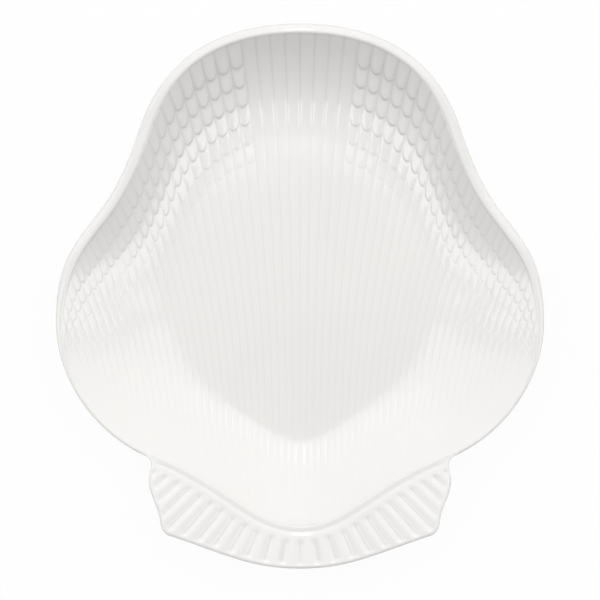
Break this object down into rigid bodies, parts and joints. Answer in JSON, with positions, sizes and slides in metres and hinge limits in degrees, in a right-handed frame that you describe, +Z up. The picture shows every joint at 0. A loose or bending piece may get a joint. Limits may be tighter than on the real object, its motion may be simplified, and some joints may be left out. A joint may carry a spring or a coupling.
{
  "type": "shell dish",
  "caption": "Shallow white porcelain serving dish shaped like a fluted scallop shell, with a rolled lip, a grip tab at the hinge end and an oval foot ring.",
  "frame": {"origin": "middle of the dish's width and length, on the table that it stands on", "axes": "+Z up, -Y towards the hinge end with the grip tab, +X to the right when seen from that end"},
  "size_m": [0.2152, 0.2398, 0.036],
  "materials": {
    "glazed_porcelain": "clear gloss glaze over white porcelain",
    "foot_porcelain": "glazed on its sides, wiped bare and matt on the face that stands on the table"
  },
  "bodies": {
    "root": {"shell_body": "glazed_porcelain", "hinge_tab": "glazed_porcelain", "foot_ring": "foot_porcelain"}
  },
  "joints": []
}
